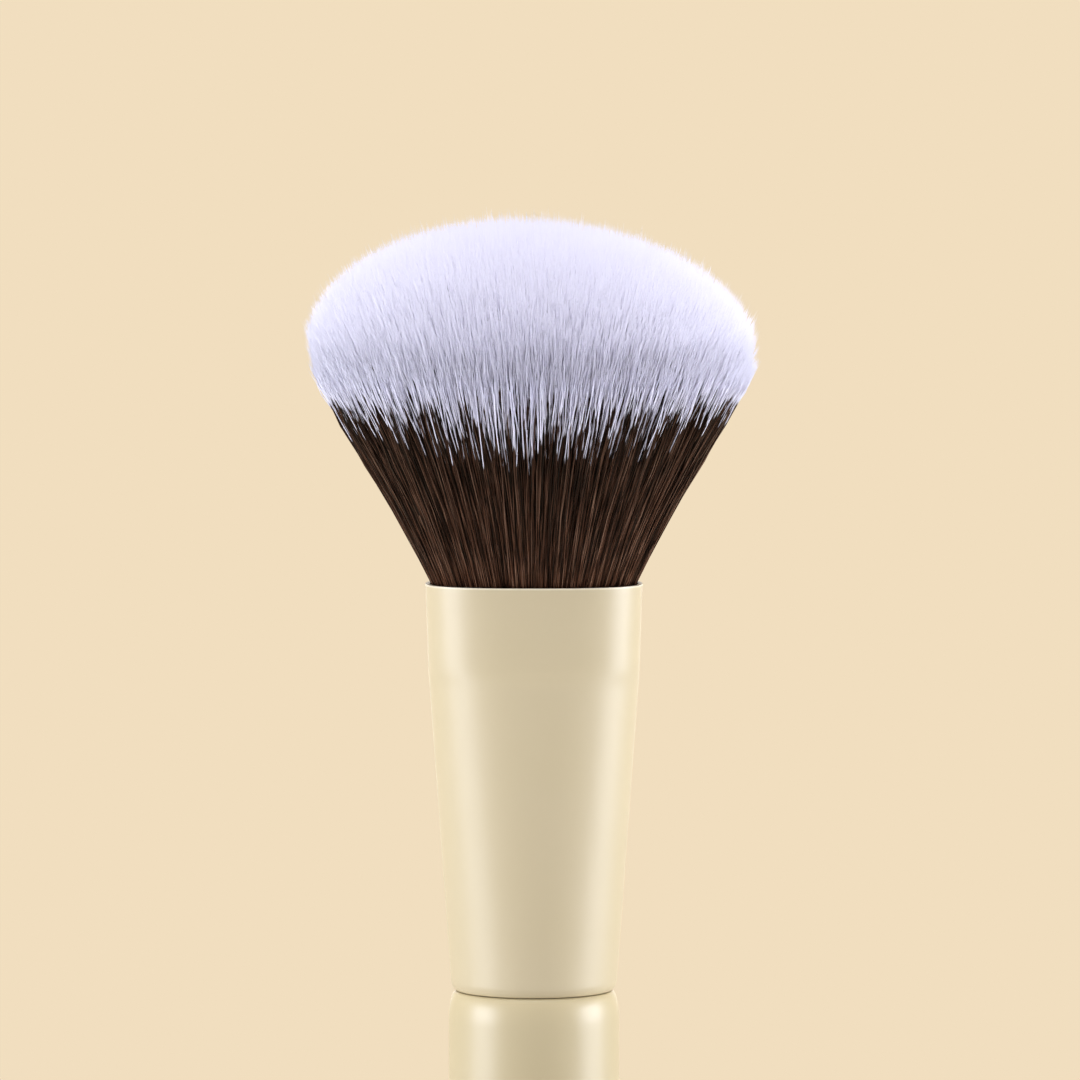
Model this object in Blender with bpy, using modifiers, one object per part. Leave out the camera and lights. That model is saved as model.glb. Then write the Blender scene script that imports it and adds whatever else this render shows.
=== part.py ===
"""A powder brush: a turned wooden handle, a ferrule pressed oval at its mouth, and a domed head of two-tone bristles.

The brush stands upright on the flat end of its handle, with the origin in the middle of that flat, +Z towards the
bristles and +X along the wide side of the head. Every length is in metres.
"""

import math
import random

import bmesh
import bpy
from mathutils import Vector
from mathutils.kdtree import KDTree

# Ferrule: a drawn aluminium tube, round at its lower end and pressed to an oval at its mouth
FERRULE_LENGTH = 0.047
FERRULE_BASE_RADIUS = 0.0095
FERRULE_WALL = 0.0005
MOUTH_HALF_WIDTH = 0.0125
MOUTH_HALF_DEPTH = 0.0093
MOUTH_SQUARENESS = 2.6
CONE_SQUARENESS_SHARE = 0.5
PRESSED_LENGTH = 0.0103
PRESS_DRAFT = 0.00035
PRESS_STEP = 0.0005
PRESS_BLEND = 0.0044
ROLL_HEIGHT = 0.0012
ROLL_INSET = 0.00055
RIM_ROUND = 0.00015
RIM_LIMIT_SHARE = 0.3

# Handle: one turned piece, with the tenon that is glued into the ferrule
HANDLE_LENGTH = 0.093
HANDLE_PROUD = 0.00035
WAIST_LENGTH = 0.016
SHOULDER_INSET = 0.0009
SHOULDER_HEIGHT = 0.0032
END_RADIUS = 0.0066
BUTT_HEIGHT = 0.0075
BUTT_FLAT_RADIUS = 0.003
TENON_LENGTH = 0.017
TENON_PLAY = 0.00055
TENON_CHAMFER = 0.0008
GROOVE_COUNT = 3
GROOVE_WIDTH = 0.0024
GROOVE_DEPTH = 0.0009
GROOVE_FLANK_SHARE = 0.4

# Knot: the glued roots of the bristles, bound with thread
SEAT_GAP = 0.0003
MOUTH_RECESS = 0.0015
BACKING_DEPTH = 0.004
THREAD_RADIUS = 0.0004
THREAD_TURNS = 3
THREAD_PITCH = 0.00125
THREAD_POINTS_A_TURN = 24

# Head: strands that stand for the filaments, fanning from the mouth to a domed crown
HEAD_HEIGHT = 0.0423
HEAD_HALF_WIDTH = 0.0262
HEAD_HALF_DEPTH = 0.0195
RING_HEIGHT = 0.0262
TIP_DYE_LENGTH = 0.0105
CROWN_LEAN_SHARE = 0.13
CROWN_EVENNESS_SHARE = 0.9
STRAND_RINGS = 11
STRANDS_PER_RING_STEP = 6
STRAND_SIDES = 3
STRAND_ROOT_DEPTH = 0.001
MOUTH_FILL_SHARE = 0.4
BODY_FILL_SHARE = 0.44
TIP_FILL_SHARE = 0.24
LENGTH_SCATTER = 0.0006
SCATTER_SEED = 7

# Facets and modelling tolerances
TURNING_STEPS = 40
OVAL_SEGMENTS = 48
ARC_STEPS = 6
TAPER_STEPS = 8
RIM_SEGMENTS = 2
WELD_DISTANCE = 0.000001
CUT_OVERRUN = 0.002
GOLDEN_TURN = math.pi * (3 - math.sqrt(5))

FERRULE_Z = HANDLE_LENGTH + SEAT_GAP
WAIST_RADIUS = FERRULE_BASE_RADIUS + HANDLE_PROUD
TENON_RADIUS = FERRULE_BASE_RADIUS - ROLL_INSET - FERRULE_WALL - TENON_PLAY
PRESS_START = FERRULE_LENGTH - PRESSED_LENGTH
BORE_INSET = FERRULE_WALL + SEAT_GAP
TENON_TOP = TENON_LENGTH - SEAT_GAP
BACKING_TOP = FERRULE_LENGTH - MOUTH_RECESS
BACKING_BOTTOM = BACKING_TOP - BACKING_DEPTH
STRAND_SPACING = (MOUTH_HALF_DEPTH - BORE_INSET) / STRAND_RINGS


def clear_scene():
    for leftover in list(bpy.data.objects):
        bpy.data.objects.remove(leftover, do_unlink=True)


def new_collection(name):
    collection = bpy.data.collections.new(name)
    bpy.context.scene.collection.children.link(collection)
    return collection


def finish(name, colour, roughness, metallic=0.0):
    """A Principled material. The colour is linear red, green and blue."""
    material = bpy.data.materials.new(name)
    material.use_nodes = True
    shader = material.node_tree.nodes["Principled BSDF"]
    shader.inputs["Base Color"].default_value = (*colour, 1.0)
    shader.inputs["Roughness"].default_value = roughness
    shader.inputs["Metallic"].default_value = metallic
    material.diffuse_color = (*colour, 1.0)
    return material


def place(mesh, name, collection, height=0.0):
    """Puts a mesh in a collection as an object whose origin is at a height on the brush's axis."""
    obj = bpy.data.objects.new(name, mesh)
    obj.location = (0.0, 0.0, height)
    collection.objects.link(obj)
    return obj


def smooth_shade(obj):
    obj.data.shade_smooth()
    obj.data.set_sharp_from_angle(angle=math.radians(35))


def as_helper(obj):
    obj.hide_render = True
    obj.display_type = "WIRE"
    return obj


def bake_to_mesh(source, name, collection):
    """Turns a curve into a welded plain mesh that takes the curve's place."""
    bpy.context.view_layer.update()
    graph = bpy.context.evaluated_depsgraph_get()
    mesh = bpy.data.meshes.new_from_object(source.evaluated_get(graph))
    welded = bmesh.new()
    welded.from_mesh(mesh)
    bmesh.ops.remove_doubles(welded, verts=welded.verts, dist=WELD_DISTANCE)
    bmesh.ops.recalc_face_normals(welded, faces=welded.faces)
    welded.to_mesh(mesh)
    welded.free()
    baked = bpy.data.objects.new(name, mesh)
    baked.matrix_world = source.matrix_world
    collection.objects.link(baked)
    bpy.data.objects.remove(source)
    return baked


def ease(share):
    """A smooth step from 0 to 1."""
    share = min(max(share, 0.0), 1.0)
    return share * share * (3 - 2 * share)


def mix(low, high, share):
    return low + (high - low) * share


def quarter_arc(start, end, bulge_first):
    """Points after start, to end, along a quarter of an ellipse in (radius, height)."""
    points = []
    for step in range(1, ARC_STEPS + 1):
        angle = math.pi / 2 * step / ARC_STEPS
        early, late = math.sin(angle), 1 - math.cos(angle)
        outward, downward = (early, late) if bulge_first else (late, early)
        points.append((mix(start[0], end[0], outward), mix(start[1], end[1], downward)))
    return points


def turned(name, outline, collection, height=0.0):
    """Turns an outline of (radius, height) points, listed from top to bottom, about the brush's axis."""
    mesh = bpy.data.meshes.new(name)
    edges = [(index, index + 1) for index in range(len(outline) - 1)]
    mesh.from_pydata([(radius, 0.0, z) for radius, z in outline], edges, [])
    obj = place(mesh, name, collection, height)
    screw = obj.modifiers.new("turning", "SCREW")
    screw.axis = "Z"
    screw.steps = screw.render_steps = TURNING_STEPS
    screw.use_merge_vertices = True
    screw.merge_threshold = WELD_DISTANCE
    screw.use_smooth_shade = True
    return obj


def ferrule_width(height):
    """Half of the ferrule's width at a height above its lower edge."""
    shoulder = MOUTH_HALF_WIDTH - PRESS_DRAFT
    if height <= PRESS_START:
        return mix(FERRULE_BASE_RADIUS, shoulder, max(height, 0.0) / PRESS_START)
    return mix(shoulder, MOUTH_HALF_WIDTH, (height - PRESS_START) / PRESSED_LENGTH)


def pressed_share(height):
    """How far the press has flattened the tube at a height: 0 below its shoulder, 1 in the mouth."""
    return ease((height - PRESS_START) / PRESS_BLEND + 1 / 2)


def ferrule_depth(height):
    """Half of the ferrule's depth at a height above its lower edge."""
    unpressed = MOUTH_HALF_DEPTH + PRESS_STEP
    cone = mix(FERRULE_BASE_RADIUS, unpressed, min(max(height, 0.0) / PRESS_START, 1.0))
    return cone - PRESS_STEP * pressed_share(height)


def squareness_at(height):
    """Exponent of the ferrule's section: 2 is an ellipse, and more gives a flatter front."""
    flattened = mix(CONE_SQUARENESS_SHARE, 1.0, pressed_share(height))
    return mix(2.0, MOUTH_SQUARENESS, ease(height / FERRULE_LENGTH) * flattened)


def roll_inset(height):
    """How far the rolled lower edge draws in at a height."""
    if height >= ROLL_HEIGHT:
        return 0.0
    drop = 1 - height / ROLL_HEIGHT
    return ROLL_INSET * (1 - math.sqrt(1 - drop * drop))


def oval_point(angle, height, inset):
    """A point on the ferrule's section, drawn in by an inset from its outer face."""
    across, along = math.cos(angle), math.sin(angle)
    power = squareness_at(height)
    swell = (abs(across) ** power + abs(along) ** power) ** (-1 / power)
    x = (ferrule_width(height) - inset) * across * swell
    y = (ferrule_depth(height) - inset) * along * swell
    return Vector((x, y, height))


def oval_loft(name, stations, collection, capped):
    """Bridges oval rings, given as (height in the ferrule, inset) from bottom to top, into one surface."""
    loft = bmesh.new()
    rings = []
    for level, inset in stations:
        ring = bmesh.ops.create_circle(loft, segments=OVAL_SEGMENTS, radius=1.0)["verts"]
        for vertex in ring:
            vertex.co = oval_point(math.atan2(vertex.co.y, vertex.co.x), level, inset)
        rings.append(ring)
    loops = [{edge for vertex in ring for edge in vertex.link_edges} for ring in rings]
    for lower, upper in zip(loops, loops[1:]):
        bmesh.ops.bridge_loops(loft, edges=list(lower | upper))
    if capped:
        bmesh.ops.contextual_create(loft, geom=list(loops[0]))
        bmesh.ops.contextual_create(loft, geom=list(loops[-1]))
    bmesh.ops.recalc_face_normals(loft, faces=loft.faces)
    mesh = bpy.data.meshes.new(name)
    loft.to_mesh(mesh)
    loft.free()
    return place(mesh, name, collection, FERRULE_Z)


def tenon_side(grow):
    """The tenon's side from top to bottom, with its glue grooves, made larger all round by grow."""
    radius = TENON_RADIUS + grow
    floor = radius - GROOVE_DEPTH
    half = GROOVE_WIDTH / 2 - grow
    flank = half * GROOVE_FLANK_SHARE
    side = []
    for groove in reversed(range(GROOVE_COUNT)):
        middle = TENON_TOP * (groove + 1) / (GROOVE_COUNT + 1)
        side += [(radius, middle + half), (floor, middle + half - flank)]
        side += [(floor, middle - half + flank), (radius, middle - half)]
    return side


def make_handle(collection, lacquer):
    tenon_top = HANDLE_LENGTH + TENON_LENGTH
    outline = [(0.0, tenon_top), (TENON_RADIUS - TENON_CHAMFER, tenon_top)]
    outline.append((TENON_RADIUS, tenon_top - TENON_CHAMFER))
    outline += [(radius, FERRULE_Z + z) for radius, z in tenon_side(0.0)]
    ledge = (WAIST_RADIUS - SHOULDER_INSET, HANDLE_LENGTH)
    outline += [(TENON_RADIUS, HANDLE_LENGTH), ledge]
    waist_top = HANDLE_LENGTH - SHOULDER_HEIGHT
    outline += quarter_arc(ledge, (WAIST_RADIUS, waist_top), bulge_first=True)
    taper_top = waist_top - WAIST_LENGTH
    for step in range(TAPER_STEPS + 1):
        share = step / TAPER_STEPS
        radius = mix(WAIST_RADIUS, END_RADIUS, ease(share))
        outline.append((radius, mix(taper_top, BUTT_HEIGHT, share)))
    outline += quarter_arc((END_RADIUS, BUTT_HEIGHT), (BUTT_FLAT_RADIUS, 0.0), bulge_first=False)
    outline.append((0.0, 0.0))
    handle = turned("handle", outline, collection)
    handle.data.materials.append(lacquer)
    return handle


def make_ferrule(collection, paint):
    levels = [ROLL_HEIGHT * (1 - math.cos(math.pi / 2 * step / ARC_STEPS)) for step in range(ARC_STEPS)]
    levels += [ROLL_HEIGHT, PRESS_START / 2]
    blend_bottom = PRESS_START - PRESS_BLEND / 2
    levels += [blend_bottom + PRESS_BLEND * step / ARC_STEPS for step in range(ARC_STEPS + 1)]
    levels.append(FERRULE_LENGTH)
    stations = [(level, roll_inset(level)) for level in levels]
    ferrule = oval_loft("ferrule", stations, collection, capped=False)
    ferrule.data.materials.append(paint)
    wall = ferrule.modifiers.new("wall", "SOLIDIFY")
    wall.thickness = FERRULE_WALL
    wall.offset = -1.0
    wall.use_even_offset = True
    rim = ferrule.modifiers.new("rim", "BEVEL")
    rim.width = min(RIM_ROUND, FERRULE_WALL * RIM_LIMIT_SHARE)
    rim.segments = RIM_SEGMENTS
    rim.limit_method = "ANGLE"
    rim.angle_limit = math.radians(50)
    smooth_shade(ferrule)
    return ferrule


def make_tenon_glue(collection, helpers, resin):
    """The resin that fills the ferrule round the tenon and keys into the tenon's grooves."""
    bottom = ROLL_HEIGHT + SEAT_GAP
    top = TENON_TOP - TENON_CHAMFER
    glue = oval_loft("tenon_glue", [(bottom, BORE_INSET), (top, BORE_INSET)], collection, capped=True)
    glue.data.materials.append(resin)
    above, below = top + CUT_OVERRUN, bottom - CUT_OVERRUN
    radius = TENON_RADIUS + SEAT_GAP
    outline = [(0.0, above), (radius, above), *tenon_side(SEAT_GAP), (radius, below), (0.0, below)]
    cut = glue.modifiers.new("socket", "BOOLEAN")
    cut.operation = "DIFFERENCE"
    cut.object = as_helper(turned("tenon_socket", outline, helpers, FERRULE_Z))
    return glue


def make_knot(collection, resin):
    """The resin-soaked roots of the bristles, drawn in where the thread is wound. Returns that place's height."""
    bottom, top = TENON_TOP + 2 * SEAT_GAP, BACKING_BOTTOM - SEAT_GAP
    middle = (bottom + top) / 2
    waist = THREAD_TURNS * THREAD_PITCH / 2 + THREAD_RADIUS + SEAT_GAP
    deep = BORE_INSET + 2 * THREAD_RADIUS + SEAT_GAP
    slope = 2 * THREAD_RADIUS
    stations = [(bottom, BORE_INSET), (middle - waist - slope, BORE_INSET), (middle - waist, deep)]
    stations += [(middle + waist, deep), (middle + waist + slope, BORE_INSET), (top, BORE_INSET)]
    knot = oval_loft("resin_knot", stations, collection, capped=True)
    knot.data.materials.append(resin)
    return middle


def least_gap(points, apart, diameter):
    """The least distance between a winding's own turns, from its points, less the thread's diameter."""
    gaps = [(a - b).length for index, a in enumerate(points) for b in points[index + apart :]]
    return min(gaps) - diameter


def make_thread(collection, helpers, cotton, middle):
    """The binding thread, wound round the knot's waist at a height in the ferrule."""
    path = []
    for step in range(THREAD_TURNS * THREAD_POINTS_A_TURN + 1):
        turn = step / THREAD_POINTS_A_TURN
        level = middle + (turn - THREAD_TURNS / 2) * THREAD_PITCH
        path.append(oval_point(2 * math.pi * turn, level, BORE_INSET + THREAD_RADIUS))
    curve = bpy.data.curves.new("thread_path", "CURVE")
    curve.dimensions = "3D"
    curve.bevel_depth = THREAD_RADIUS
    curve.bevel_resolution = 1
    curve.use_fill_caps = True
    spline = curve.splines.new("POLY")
    spline.points.add(len(path) - 1)
    for point, position in zip(spline.points, path):
        point.co = (*position, 1.0)
    wound = place(curve, "thread_path", helpers, FERRULE_Z)
    thread = bake_to_mesh(wound, "binding_thread", collection)
    thread.data.materials.append(cotton)
    thread.data.shade_smooth()
    gap = least_gap(path, THREAD_POINTS_A_TURN // 2, 2 * THREAD_RADIUS)
    print(f"binding_thread: least gap between turns {gap * 1000:.2f} mm")
    return thread


def strand_places():
    """Each strand's share of the way from the axis to the rim, and its angle, in staggered rings."""
    places = [(0.0, 0.0)]
    for ring in range(1, STRAND_RINGS + 1):
        count = STRANDS_PER_RING_STEP * ring
        for index in range(count):
            places.append((ring / STRAND_RINGS, 2 * math.pi * index / count + GOLDEN_TURN * ring))
    return places


def crown_point(share, angle):
    """Where a strand's tip lies on the crown. The crown is half an ellipsoid that leans towards -X."""
    spread = mix(share, share * math.sqrt(2 - share * share), CROWN_EVENNESS_SHARE)
    rise = (HEAD_HEIGHT - RING_HEIGHT) * math.sqrt(max(0.0, 1 - spread * spread))
    x = HEAD_HALF_WIDTH * spread * math.cos(angle) - CROWN_LEAN_SHARE * rise
    y = HEAD_HALF_DEPTH * spread * math.sin(angle)
    return Vector((x, y, FERRULE_LENGTH + RING_HEIGHT + rise))


def strand_path(share, angle, scatter):
    """A strand's root in the backing, its dye line and its tip, on one straight line, each with its radius."""
    rim = oval_point(angle, FERRULE_LENGTH, BORE_INSET + MOUTH_FILL_SHARE * STRAND_SPACING)
    mouth = Vector((rim.x * share, rim.y * share, rim.z))
    reach = crown_point(share, angle) - mouth
    depth_share = (MOUTH_RECESS + STRAND_ROOT_DEPTH) / reach.z
    tip_share = 1 + scatter / reach.length
    dye_share = tip_share - TIP_DYE_LENGTH / reach.length
    fan = HEAD_HALF_DEPTH / MOUTH_HALF_DEPTH
    root_radius = MOUTH_FILL_SHARE * STRAND_SPACING * mix(1.0, fan, -depth_share)
    dye_radius = BODY_FILL_SHARE * STRAND_SPACING * mix(1.0, fan, dye_share)
    tip_radius = TIP_FILL_SHARE * STRAND_SPACING * fan
    root, dye_line, tip = (mouth + reach * along for along in (-depth_share, dye_share, tip_share))
    return [(root, root_radius), (dye_line, dye_radius), (tip, tip_radius)]


def strand_section(helpers):
    """The outline of a strand cut across, of unit radius."""
    section = bpy.data.curves.new("strand_section", "CURVE")
    corners = section.splines.new("POLY")
    corners.points.add(STRAND_SIDES - 1)
    for corner, point in enumerate(corners.points):
        turn = 2 * math.pi * corner / STRAND_SIDES
        point.co = (math.cos(turn), math.sin(turn), 0.0, 1.0)
    corners.use_cyclic_u = True
    return as_helper(place(section, "strand_section", helpers))


def make_strands(helpers, brown, white):
    """All strands as one mesh of narrow tubes, dyed white past the line near their tips."""
    curve = bpy.data.curves.new("strand_paths", "CURVE")
    curve.dimensions = "3D"
    curve.bevel_mode = "OBJECT"
    curve.bevel_object = strand_section(helpers)
    curve.use_fill_caps = True
    scatter = random.Random(SCATTER_SEED)
    brown_middles, white_middles = [], []
    for share, angle in strand_places():
        path = strand_path(share, angle, scatter.uniform(-LENGTH_SCATTER, LENGTH_SCATTER))
        spline = curve.splines.new("POLY")
        spline.points.add(len(path) - 1)
        for point, (position, radius) in zip(spline.points, path):
            point.co = (*position, 1.0)
            point.radius = radius
        root, dye_line, tip = [position for position, _ in path]
        brown_middles.append((root + dye_line) / 2)
        white_middles.append((dye_line + tip) / 2)
    drawn = place(curve, "strand_paths", helpers, FERRULE_Z)
    strands = as_helper(bake_to_mesh(drawn, "strands", helpers))
    strands.data.materials.append(brown)
    strands.data.materials.append(white)
    nearest = KDTree(2 * len(brown_middles))
    for index, middle in enumerate([*brown_middles, *white_middles]):
        nearest.insert(middle, index)
    nearest.balance()
    for face in strands.data.polygons:
        _, index, _ = nearest.find(face.center)
        face.material_index = int(index >= len(brown_middles))
    return strands


def make_bristles(collection, helpers, brown, white):
    """The strands, fused to the top slice of the knot that backs them."""
    stations = [(BACKING_BOTTOM, BORE_INSET), (BACKING_TOP, BORE_INSET)]
    bristles = oval_loft("bristles", stations, collection, capped=True)
    bristles.data.materials.append(brown)
    bristles.data.materials.append(white)
    fuse = bristles.modifiers.new("strands", "BOOLEAN")
    fuse.operation = "UNION"
    fuse.material_mode = "TRANSFER"
    fuse.object = make_strands(helpers, brown, white)
    return bristles


def main():
    clear_scene()
    brush = new_collection("powder_brush")
    helpers = new_collection("helpers")
    lacquer = finish("cream gloss lacquer on birch", (0.80, 0.73, 0.53), 0.28)
    paint = finish("cream satin paint on aluminium", (0.80, 0.71, 0.52), 0.42)
    resin = finish("amber epoxy", (0.55, 0.34, 0.12), 0.3)
    cotton = finish("waxed cotton thread", (0.72, 0.68, 0.58), 0.8)
    brown = finish("dark brown filament", (0.040, 0.022, 0.015), 0.45)
    white = finish("white dyed filament tip", (0.82, 0.81, 0.93), 0.5)
    make_handle(brush, lacquer)
    make_ferrule(brush, paint)
    make_tenon_glue(brush, helpers, resin)
    knot_middle = make_knot(brush, resin)
    make_thread(brush, helpers, cotton, knot_middle)
    make_bristles(brush, helpers, brown, white)
    frame = bpy.data.objects.new("brush_frame", None)
    for piece in [*brush.objects, *helpers.objects]:
        piece.parent = frame
    brush.objects.link(frame)


main()
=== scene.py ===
import math

import bmesh
import bpy
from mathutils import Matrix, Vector


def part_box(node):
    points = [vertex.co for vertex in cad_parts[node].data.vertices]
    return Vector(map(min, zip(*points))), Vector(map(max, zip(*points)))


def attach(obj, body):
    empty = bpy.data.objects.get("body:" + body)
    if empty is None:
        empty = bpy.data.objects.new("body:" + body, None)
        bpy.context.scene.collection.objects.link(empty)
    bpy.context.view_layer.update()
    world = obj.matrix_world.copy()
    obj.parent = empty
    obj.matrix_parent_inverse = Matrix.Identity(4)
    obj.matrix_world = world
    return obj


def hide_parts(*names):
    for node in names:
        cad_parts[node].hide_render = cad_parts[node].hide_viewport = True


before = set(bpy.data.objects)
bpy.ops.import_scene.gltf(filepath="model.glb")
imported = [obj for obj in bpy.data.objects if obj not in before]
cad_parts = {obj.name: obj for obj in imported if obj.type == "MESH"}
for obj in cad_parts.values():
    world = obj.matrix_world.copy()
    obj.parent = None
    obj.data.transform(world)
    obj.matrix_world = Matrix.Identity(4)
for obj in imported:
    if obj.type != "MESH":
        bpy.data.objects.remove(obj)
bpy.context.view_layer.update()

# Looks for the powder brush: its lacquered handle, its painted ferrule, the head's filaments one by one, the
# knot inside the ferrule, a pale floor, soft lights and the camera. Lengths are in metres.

MM = 0.001

FERRULE_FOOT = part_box("ferrule")[0].z
MOUTH_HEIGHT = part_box("ferrule")[1].z
THREAD_LOW, THREAD_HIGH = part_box("binding_thread")
MOUTH_SQUARENESS = 2.6

# Ferrule: the same tube as the solids', with a finer skin
FERRULE = {
    "Foot Height": FERRULE_FOOT,
    "Length": MOUTH_HEIGHT - FERRULE_FOOT,
    "Foot Radius": 9.5 * MM,
    "Shoulder Half Width": 12.15 * MM,
    "Mouth Half Width": 12.5 * MM,
    "Mouth Half Depth": 9.3 * MM,
    "Mouth Squareness": MOUTH_SQUARENESS,
    "Cone Squareness Share": 0.5,
    "Press Start": 36.7 * MM,
    "Press Step": 0.5 * MM,
    "Press Blend": 2.1 * MM,
    "Roll Height": 1.2 * MM,
    "Roll Inset": 0.55 * MM,
    "Segments Around": 160,
    "Levels": 110,
    "Level Crowding": 1.6,
}
FERRULE_SEAM = 0.002 * MM
FERRULE_WALL = 0.5 * MM
FERRULE_RIM_ROUND = 0.24 * MM
FERRULE_RIM_STEPS = 5
FERRULE_RIM_ANGLE = math.radians(50)
# width of the paler line painted on the lip of the mouth, a painted highlight
LIP_HIGHLIGHT_BAND = 0.24 * MM

# Handle: outline of the turned piece and of its tenon
HANDLE_LENGTH = 93 * MM
WAIST_RADIUS = 9.85 * MM
WAIST_LENGTH = 16 * MM
SHOULDER_INSET = 0.9 * MM
SHOULDER_HEIGHT = 3.2 * MM
END_RADIUS = 6.6 * MM
BUTT_HEIGHT = 7.5 * MM
BUTT_FLAT_RADIUS = 3 * MM
TENON_RADIUS = 7.9 * MM
TENON_LENGTH = 17 * MM
TENON_CHAMFER = 0.8 * MM
GROOVE_COUNT = 3
GROOVE_WIDTH = 2.4 * MM
GROOVE_DEPTH = 0.9 * MM
GROOVE_FLANK_SHARE = 0.4
SEAT_GAP = 0.3 * MM
JOINT_GAP = 0.08 * MM
TURNING_STEPS = 160
ARC_STEPS = 14
TAPER_STEPS = 60
HANDLE_SEAM = 0.001 * MM
HANDLE_SHARP_ANGLE = math.radians(35)

# Head: filaments that fan from the mouth to the crown. A real one is about 0.1 mm thick, and each is drawn at
# 0.13 mm so that it shows.
HEAD = {
    "Mouth Height": MOUTH_HEIGHT,
    "Mouth Half Width": 11.93 * MM,
    "Mouth Half Depth": 8.73 * MM,
    "Mouth Squareness": MOUTH_SQUARENESS,
    "Root Depth": 3.5 * MM,
    "Head Half Width": 26.15 * MM,
    "Head Half Depth": 19.4 * MM,
    "Ring Height": 26.2 * MM,
    "Crown Rise": 15.95 * MM,
    "Crown Lean": -2.0 * MM,
    "Ring Tilt": 0.008,
    "Waist": 0.026,
    "Crown Evenness": 0.9,
    "Thickness": 0.13 * MM,
    "Root Thickness Share": 0.66,
    "Full Thickness At": 0.5,
    "Ring Crowding": 1.3,
    "Root Shake": 0.008,
    "Crossing": 0.05,
    "Length Scatter": 0.45 * MM,
    "Stray Length": 1.0 * MM,
    "Stray Rarity": 12.0,
    "Rim Round": 1.3 * MM,
    "Rim Start": 0.9,
    "Sideways Scatter": 0.2 * MM,
    "Bend": 0.5 * MM,
    "Bend Angle": math.pi * 0.93,
    "Wave": 0.42 * MM,
    "Wave Angle": math.tau * 2.2,
    "Proud": 0.4 * MM,
    "Proud Rarity": 8.0,
    "Lock Width": 0.5 * MM,
    "Lock Pull": 0.44,
    "Dyed Length Front": 11.1 * MM,
    "Dyed Length Side": 7.0 * MM,
    # inner filaments are dyed brown further up: partly a lower dye line inside the knot, partly painted shade for
    # the gaps between the outer white filaments
    "Inner Dyed Length With Painted Shade": 5.5 * MM,
    "Inside Ends At": 0.98,
    "Outside Starts At": 0.998,
    "Least Dyed Length": 5.0 * MM,
    "Dye Lock Scatter": 1.6 * MM,
    "Dye Lock Point": -3.0 * MM,
    "Dye Scatter": 3.6 * MM,
}
FILAMENTS_A_BUNDLE = 5300
BUNDLE_COUNT = 10
FILAMENT_SIDES = 3
FILAMENT_LENGTHS = 6
GOLDEN_ANGLE = math.pi * (3 - math.sqrt(5))
# brings x * x * (1 - x), which is greatest at two thirds, to 1 there
HUMP_SCALE = 27 / 4
FILAMENT_SEED = 11

# Dye: its map has a column for each tint across, and runs along the filament up to its tip
TINT_COLUMNS = 96
TINT_COLUMN_MARGIN = 0.2
DYE_MAP_LENGTH = 56 * MM
DYE_MAP_MARGIN = 0.004
DYE_MAP_SKEW = 0.001
DYE_LINE_AT = 0.7
DYE_BLEED = 0.5 * MM
# length and strength of the lighter and darker patches painted along each brown filament, painted glints and
# painted shade
PAINTED_GLINT_PATCH_LENGTH = 6 * MM
PAINTED_GLINT_PATCH_SHIFT = 0.4
# the brown's painted shade next to the dye line: how far below the line it reaches, and how dark it is at the line
PAINTED_SHADE_LENGTH = 22 * MM
PAINTED_SHADE_SHARE = 0.36
# how far above the dye line the white's painted light fades out
PAINTED_LIGHT_LENGTH = 9 * MM
DULLEST_WHITE = 0.94
BROWN_GLEAM = 0.2
WHITE_GLEAM = 0.5

# what is drawn at random for each filament, and its range; a draw's seed is the first seed plus its place here
RANDOM_DRAWS = (
    ("root", (-1.0, -1.0, 0.0), (1.0, 1.0, 0.0)),
    ("tip", (-1.0, -1.0, -1.0), (1.0, 1.0, 1.0)),
    ("trim", -1.0, 1.0),
    ("stray", 0.0, 1.0),
    ("bow", (-1.0, -1.0, 0.0), (1.0, 1.0, 0.0)),
    ("spin", 0.0, math.tau),
    ("blot", -1.0, 1.0),
    ("tint", 0.0, TINT_COLUMNS),
    ("crossing", (-1.0, -1.0, 0.0), (1.0, 1.0, 0.0)),
    ("proud", 0.0, 1.0),
    ("ripple", (-1.0, -1.0, 0.0), (1.0, 1.0, 0.0)),
    ("phase", 0.0, math.tau),
)

# Coats: where a noise texture's values mostly lie, the grain's share beside the peel, and the paint's roughness
NOISE_LOW, NOISE_HIGH = 0.3, 0.7
GRAIN_SHARE = 0.35
PAINT_ROUGHNESS = (0.42, 0.46)

# Binding thread: three plies laid round one another, wound round the bundle inside the ferrule
THREAD = {
    "Middle Height": (THREAD_LOW.z + THREAD_HIGH.z) / 2,
    "Half Width": 10.42 * MM,
    "Half Depth": 8.54 * MM,
    "Width Growth": 0.0722,
    "Depth Growth": 0.008,
    "Squareness": 2.2,
    "Turns": 3.0,
    "Pitch": 1.25 * MM,
    "Ply Radius": 0.19 * MM,
    "Ply Offset": 0.2 * MM,
    "Ply Twists a Turn": 26.0,
    "Steps": 720,
}
PLY_COUNT = 3
PLY_SIDES = 6

# Root bed: the top slice of the glued roots, inside the mouth
BED_HALF_WIDTH = 11.8 * MM
BED_HALF_DEPTH = 8.62 * MM
BED_RECESS = 1.5 * MM
BED_THICKNESS = 4 * MM
BED_STEPS = 128

# Camera and light
CAMERA_DISTANCE = 870 * MM
CAMERA_PITCH = math.radians(3.6)
CAMERA_AIM = Vector((0.7 * MM, 0.0, 145.3 * MM))
FRAME_SPAN = 124.4 * MM
CAMERA_REACH = 100.0
FILL_STRENGTH = 0.385
FLOOR_HALF_SIZE = 6.0
FLOOR_FADE = (0.22, 0.5)
BOUNCE_FADE = (0.08, 0.32)
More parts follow.
